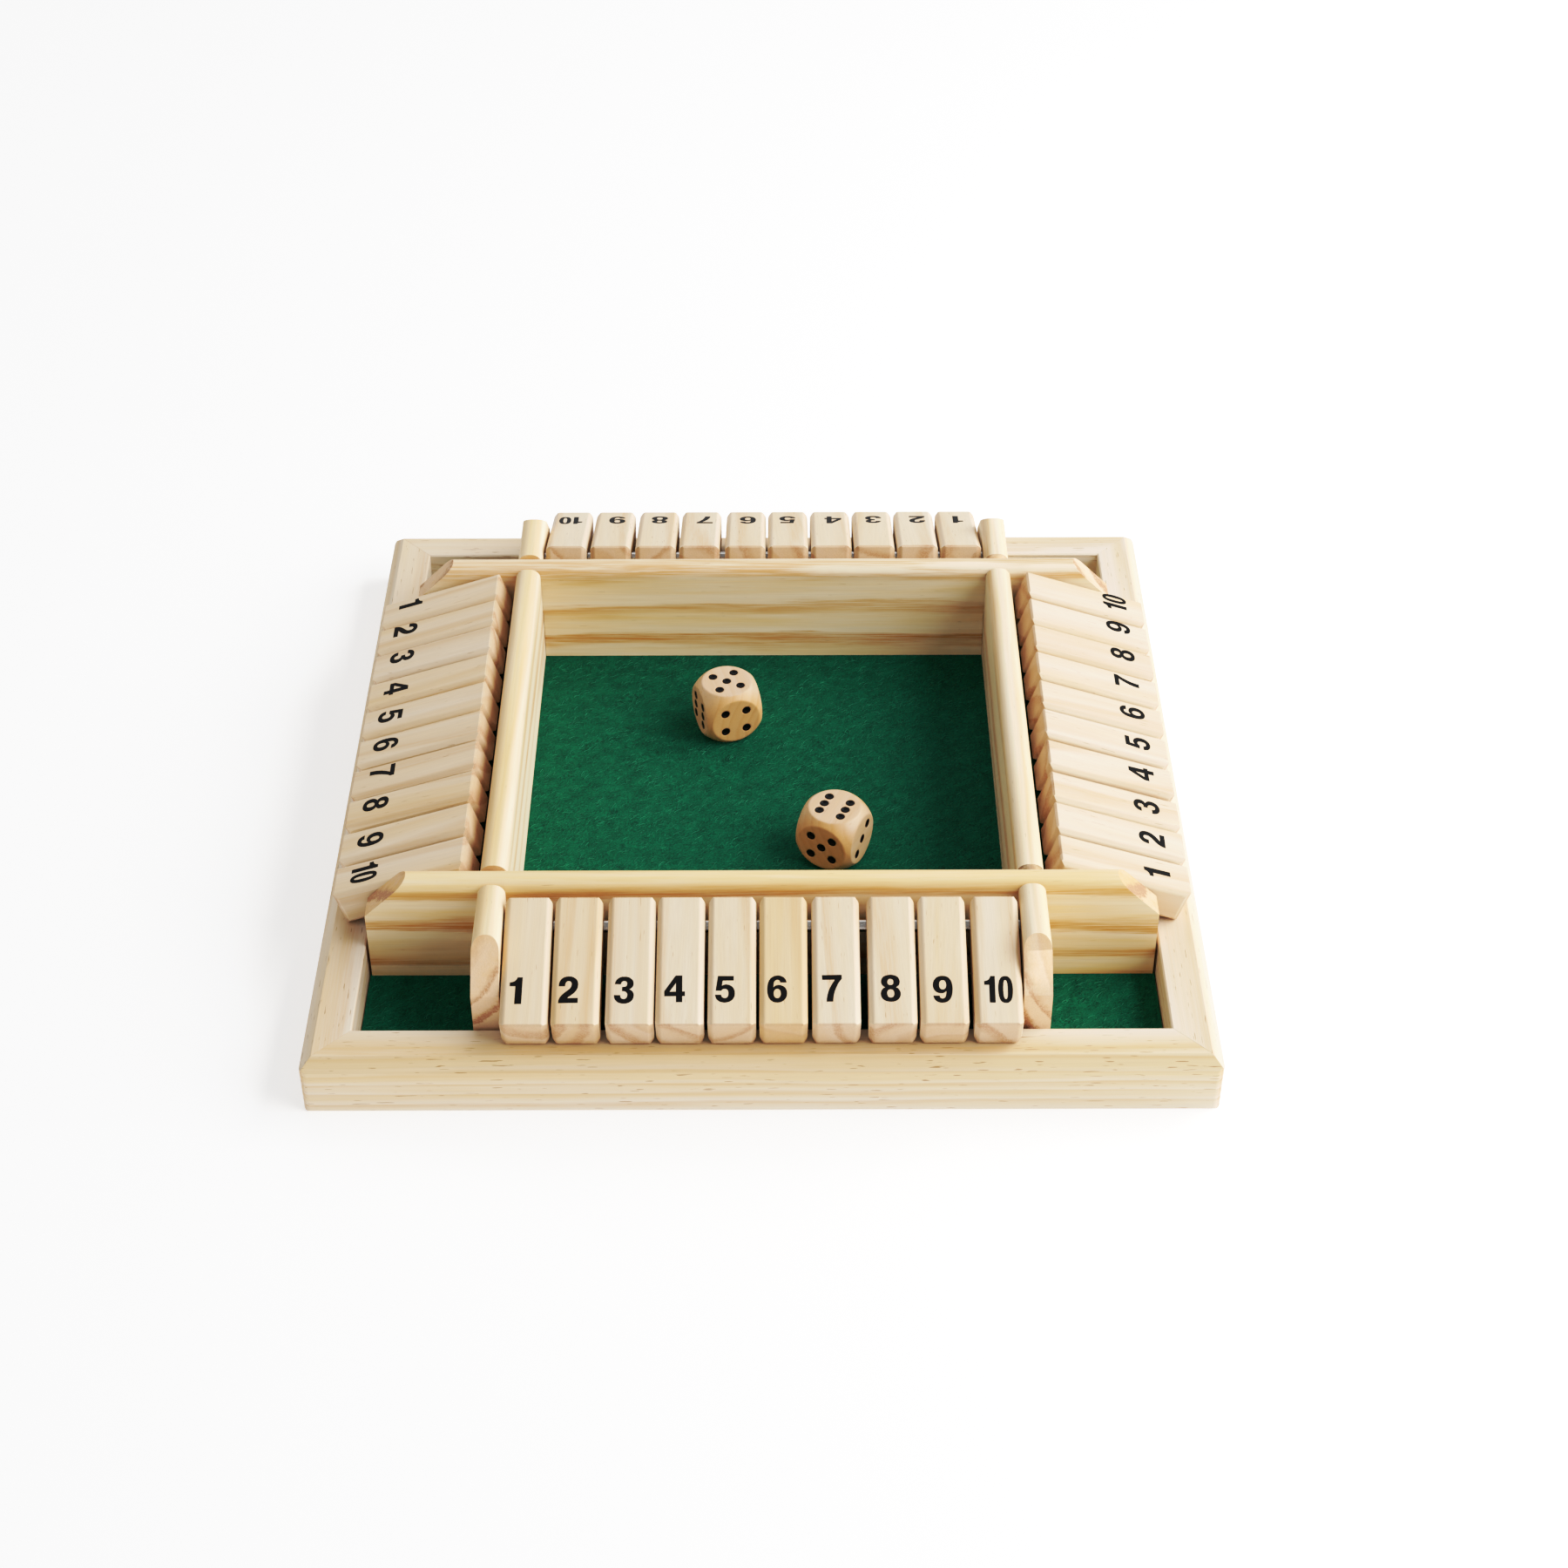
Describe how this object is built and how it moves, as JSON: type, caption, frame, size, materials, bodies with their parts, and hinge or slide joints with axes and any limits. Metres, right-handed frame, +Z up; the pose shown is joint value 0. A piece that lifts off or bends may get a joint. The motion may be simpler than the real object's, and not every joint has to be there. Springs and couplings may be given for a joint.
{
  "type": "shut the box game",
  "caption": "Square wooden box game: felt dice tray inside crossed divider boards, numbered tiles flipping on steel rods along every side, and loose dice.",
  "frame": {"origin": "middle of the footprint, on the table under the rails", "axes": "+Z up, +X right and +Y away from the player at the front"},
  "size_m": [0.22, 0.22, 0.0365],
  "materials": {
    "rail_pine": "satin clear lacquer over pine",
    "divider_pine": "satin clear lacquer over pine",
    "tile_pine": "satin clear lacquer over pine, printed numeral",
    "dice_beech": "satin beech, painted pips",
    "panel_wood": "plain sanded plywood",
    "green_felt": "short napped felt",
    "rod_steel": "bright drawn steel",
    "pin_steel": "plain steel pin"
  },
  "bodies": {
    "tray": {"rail_front": "rail_pine", "rail_right": "rail_pine", "rail_rear": "rail_pine", "rail_left": "rail_pine", "base_panel": "panel_wood", "felt": "green_felt", "floor_pins": "pin_steel", "divider_front": "divider_pine", "divider_right": "divider_pine", "divider_rear": "divider_pine", "divider_left": "divider_pine", "rod_front": "rod_steel", "rod_right": "rod_steel", "rod_rear": "rod_steel", "rod_left": "rod_steel"},
    "tile_front_01": {"tile_front_01": "tile_pine"},
    "tile_front_02": {"tile_front_02": "tile_pine"},
    "tile_front_03": {"tile_front_03": "tile_pine"},
    "tile_front_04": {"tile_front_04": "tile_pine"},
    "tile_front_05": {"tile_front_05": "tile_pine"},
    "tile_front_06": {"tile_front_06": "tile_pine"},
    "tile_front_07": {"tile_front_07": "tile_pine"},
    "tile_front_08": {"tile_front_08": "tile_pine"},
    "tile_front_09": {"tile_front_09": "tile_pine"},
    "tile_front_10": {"tile_front_10": "tile_pine"},
    "tile_right_01": {"tile_right_01": "tile_pine"},
    "tile_right_02": {"tile_right_02": "tile_pine"},
    "tile_right_03": {"tile_right_03": "tile_pine"},
    "tile_right_04": {"tile_right_04": "tile_pine"},
    "tile_right_05": {"tile_right_05": "tile_pine"},
    "tile_right_06": {"tile_right_06": "tile_pine"},
    "tile_right_07": {"tile_right_07": "tile_pine"},
    "tile_right_08": {"tile_right_08": "tile_pine"},
    "tile_right_09": {"tile_right_09": "tile_pine"},
    "tile_right_10": {"tile_right_10": "tile_pine"},
    "tile_rear_01": {"tile_rear_01": "tile_pine"},
    "tile_rear_02": {"tile_rear_02": "tile_pine"},
    "tile_rear_03": {"tile_rear_03": "tile_pine"},
    "tile_rear_04": {"tile_rear_04": "tile_pine"},
    "tile_rear_05": {"tile_rear_05": "tile_pine"},
    "tile_rear_06": {"tile_rear_06": "tile_pine"},
    "tile_rear_07": {"tile_rear_07": "tile_pine"},
    "tile_rear_08": {"tile_rear_08": "tile_pine"},
    "tile_rear_09": {"tile_rear_09": "tile_pine"},
    "tile_rear_10": {"tile_rear_10": "tile_pine"},
    "tile_left_01": {"tile_left_01": "tile_pine"},
    "tile_left_02": {"tile_left_02": "tile_pine"},
    "tile_left_03": {"tile_left_03": "tile_pine"},
    "tile_left_04": {"tile_left_04": "tile_pine"},
    "tile_left_05": {"tile_left_05": "tile_pine"},
    "tile_left_06": {"tile_left_06": "tile_pine"},
    "tile_left_07": {"tile_left_07": "tile_pine"},
    "tile_left_08": {"tile_left_08": "tile_pine"},
    "tile_left_09": {"tile_left_09": "tile_pine"},
    "tile_left_10": {"tile_left_10": "tile_pine"},
    "die_far": {"die_far": "dice_beech"},
    "die_near": {"die_near": "dice_beech"}
  },
  "joints": [
    {"name": "tile_front_01_flip", "type": "hinge", "parent": "tray", "child": "tile_front_01", "pos_m": [-0.05625, -0.07725, 0.03], "axis": [-1, 0, 0], "range_deg": [0, 132]},
    {"name": "tile_front_02_flip", "type": "hinge", "parent": "tray", "child": "tile_front_02", "pos_m": [-0.0441, -0.07725, 0.03], "axis": [-1, 0, 0], "range_deg": [0, 132]},
    {"name": "tile_front_03_flip", "type": "hinge", "parent": "tray", "child": "tile_front_03", "pos_m": [-0.03126, -0.07725, 0.03], "axis": [-1, 0, 0], "range_deg": [0, 132]},
    {"name": "tile_front_04_flip", "type": "hinge", "parent": "tray", "child": "tile_front_04", "pos_m": [-0.01941, -0.07725, 0.03], "axis": [-1, 0, 0], "range_deg": [0, 132]},
    {"name": "tile_front_05_flip", "type": "hinge", "parent": "tray", "child": "tile_front_05", "pos_m": [-0.00707, -0.07725, 0.03], "axis": [-1, 0, 0], "range_deg": [0, 132]},
    {"name": "tile_front_06_flip", "type": "hinge", "parent": "tray", "child": "tile_front_06", "pos_m": [0.00518, -0.07725, 0.03], "axis": [-1, 0, 0], "range_deg": [0, 132]},
    {"name": "tile_front_07_flip", "type": "hinge", "parent": "tray", "child": "tile_front_07", "pos_m": [0.01773, -0.07725, 0.03], "axis": [-1, 0, 0], "range_deg": [0, 132]},
    {"name": "tile_front_08_flip", "type": "hinge", "parent": "tray", "child": "tile_front_08", "pos_m": [0.03106, -0.07725, 0.03], "axis": [-1, 0, 0], "range_deg": [0, 132]},
    {"name": "tile_front_09_flip", "type": "hinge", "parent": "tray", "child": "tile_front_09", "pos_m": [0.04331, -0.07725, 0.03], "axis": [-1, 0, 0], "range_deg": [0, 132]},
    {"name": "tile_front_10_flip", "type": "hinge", "parent": "tray", "child": "tile_front_10", "pos_m": [0.05615, -0.07725, 0.03], "axis": [-1, 0, 0], "range_deg": [0, 132]},
    {"name": "tile_right_01_flip", "type": "hinge", "parent": "tray", "child": "tile_right_01", "pos_m": [0.07725, -0.05587, 0.03], "axis": [0, -1, 0], "range_deg": [0, 132]},
    {"name": "tile_right_02_flip", "type": "hinge", "parent": "tray", "child": "tile_right_02", "pos_m": [0.07725, -0.04335, 0.03], "axis": [0, -1, 0], "range_deg": [0, 132]},
    {"name": "tile_right_03_flip", "type": "hinge", "parent": "tray", "child": "tile_right_03", "pos_m": [0.07725, -0.03121, 0.03], "axis": [0, -1, 0], "range_deg": [0, 132]},
    {"name": "tile_right_04_flip", "type": "hinge", "parent": "tray", "child": "tile_right_04", "pos_m": [0.07725, -0.0183, 0.03], "axis": [0, -1, 0], "range_deg": [0, 132]},
    {"name": "tile_right_05_flip", "type": "hinge", "parent": "tray", "child": "tile_right_05", "pos_m": [0.07725, -0.00549, 0.03], "axis": [0, -1, 0], "range_deg": [0, 132]},
    {"name": "tile_right_06_flip", "type": "hinge", "parent": "tray", "child": "tile_right_06", "pos_m": [0.07725, 0.00684, 0.03], "axis": [0, -1, 0], "range_deg": [0, 132]},
    {"name": "tile_right_07_flip", "type": "hinge", "parent": "tray", "child": "tile_right_07", "pos_m": [0.07725, 0.01936, 0.03], "axis": [0, -1, 0], "range_deg": [0, 132]},
    {"name": "tile_right_08_flip", "type": "hinge", "parent": "tray", "child": "tile_right_08", "pos_m": [0.07725, 0.0315, 0.03], "axis": [0, -1, 0], "range_deg": [0, 132]},
    {"name": "tile_right_09_flip", "type": "hinge", "parent": "tray", "child": "tile_right_09", "pos_m": [0.07725, 0.04354, 0.03], "axis": [0, -1, 0], "range_deg": [0, 132]},
    {"name": "tile_right_10_flip", "type": "hinge", "parent": "tray", "child": "tile_right_10", "pos_m": [0.07725, 0.05606, 0.03], "axis": [0, -1, 0], "range_deg": [0, 132]},
    {"name": "tile_rear_01_flip", "type": "hinge", "parent": "tray", "child": "tile_rear_01", "pos_m": [0.05605, 0.07725, 0.03], "axis": [1, 0, 0], "range_deg": [0, 132]},
    {"name": "tile_rear_02_flip", "type": "hinge", "parent": "tray", "child": "tile_rear_02", "pos_m": [0.04379, 0.07725, 0.03], "axis": [1, 0, 0], "range_deg": [0, 132]},
    {"name": "tile_rear_03_flip", "type": "hinge", "parent": "tray", "child": "tile_rear_03", "pos_m": [0.03154, 0.07725, 0.03], "axis": [1, 0, 0], "range_deg": [0, 132]},
    {"name": "tile_rear_04_flip", "type": "hinge", "parent": "tray", "child": "tile_rear_04", "pos_m": [0.01929, 0.07725, 0.03], "axis": [1, 0, 0], "range_deg": [0, 132]},
    {"name": "tile_rear_05_flip", "type": "hinge", "parent": "tray", "child": "tile_rear_05", "pos_m": [0.00703, 0.07725, 0.03], "axis": [1, 0, 0], "range_deg": [0, 132]},
    {"name": "tile_rear_06_flip", "type": "hinge", "parent": "tray", "child": "tile_rear_06", "pos_m": [-0.00512, 0.07725, 0.03], "axis": [1, 0, 0], "range_deg": [0, 132]},
    {"name": "tile_rear_07_flip", "type": "hinge", "parent": "tray", "child": "tile_rear_07", "pos_m": [-0.01818, 0.07725, 0.03], "axis": [1, 0, 0], "range_deg": [0, 132]},
    {"name": "tile_rear_08_flip", "type": "hinge", "parent": "tray", "child": "tile_rear_08", "pos_m": [-0.03063, 0.07725, 0.03], "axis": [1, 0, 0], "range_deg": [0, 132]},
    {"name": "tile_rear_09_flip", "type": "hinge", "parent": "tray", "child": "tile_rear_09", "pos_m": [-0.04339, 0.07725, 0.03], "axis": [1, 0, 0], "range_deg": [0, 132]},
    {"name": "tile_rear_10_flip", "type": "hinge", "parent": "tray", "child": "tile_rear_10", "pos_m": [-0.05595, 0.07725, 0.03], "axis": [1, 0, 0], "range_deg": [0, 132]},
    {"name": "tile_left_01_flip", "type": "hinge", "parent": "tray", "child": "tile_left_01", "pos_m": [-0.07725, 0.05568, 0.03], "axis": [0, 1, 0], "range_deg": [0, 132]},
    {"name": "tile_left_02_flip", "type": "hinge", "parent": "tray", "child": "tile_left_02", "pos_m": [-0.07725, 0.04354, 0.03], "axis": [0, 1, 0], "range_deg": [0, 132]},
    {"name": "tile_left_03_flip", "type": "hinge", "parent": "tray", "child": "tile_left_03", "pos_m": [-0.07725, 0.0315, 0.03], "axis": [0, 1, 0], "range_deg": [0, 132]},
    {"name": "tile_left_04_flip", "type": "hinge", "parent": "tray", "child": "tile_left_04", "pos_m": [-0.07725, 0.01897, 0.03], "axis": [0, 1, 0], "range_deg": [0, 132]},
    {"name": "tile_left_05_flip", "type": "hinge", "parent": "tray", "child": "tile_left_05", "pos_m": [-0.07725, 0.00684, 0.03], "axis": [0, 1, 0], "range_deg": [0, 132]},
    {"name": "tile_left_06_flip", "type": "hinge", "parent": "tray", "child": "tile_left_06", "pos_m": [-0.07725, -0.00549, 0.03], "axis": [0, 1, 0], "range_deg": [0, 132]},
    {"name": "tile_left_07_flip", "type": "hinge", "parent": "tray", "child": "tile_left_07", "pos_m": [-0.07725, -0.01801, 0.03], "axis": [0, 1, 0], "range_deg": [0, 132]},
    {"name": "tile_left_08_flip", "type": "hinge", "parent": "tray", "child": "tile_left_08", "pos_m": [-0.07725, -0.03015, 0.03], "axis": [0, 1, 0], "range_deg": [0, 132]},
    {"name": "tile_left_09_flip", "type": "hinge", "parent": "tray", "child": "tile_left_09", "pos_m": [-0.07725, -0.04306, 0.03], "axis": [0, 1, 0], "range_deg": [0, 132]},
    {"name": "tile_left_10_flip", "type": "hinge", "parent": "tray", "child": "tile_left_10", "pos_m": [-0.07725, -0.05587, 0.03], "axis": [0, 1, 0], "range_deg": [0, 132]},
    {"name": "die_far_lift", "type": "slide", "parent": "tray", "child": "die_far", "axis": [0, 0, 1], "range_m": [0, 0.06]},
    {"name": "die_near_lift", "type": "slide", "parent": "tray", "child": "die_near", "axis": [0, 0, 1], "range_m": [0, 0.06]}
  ]
}
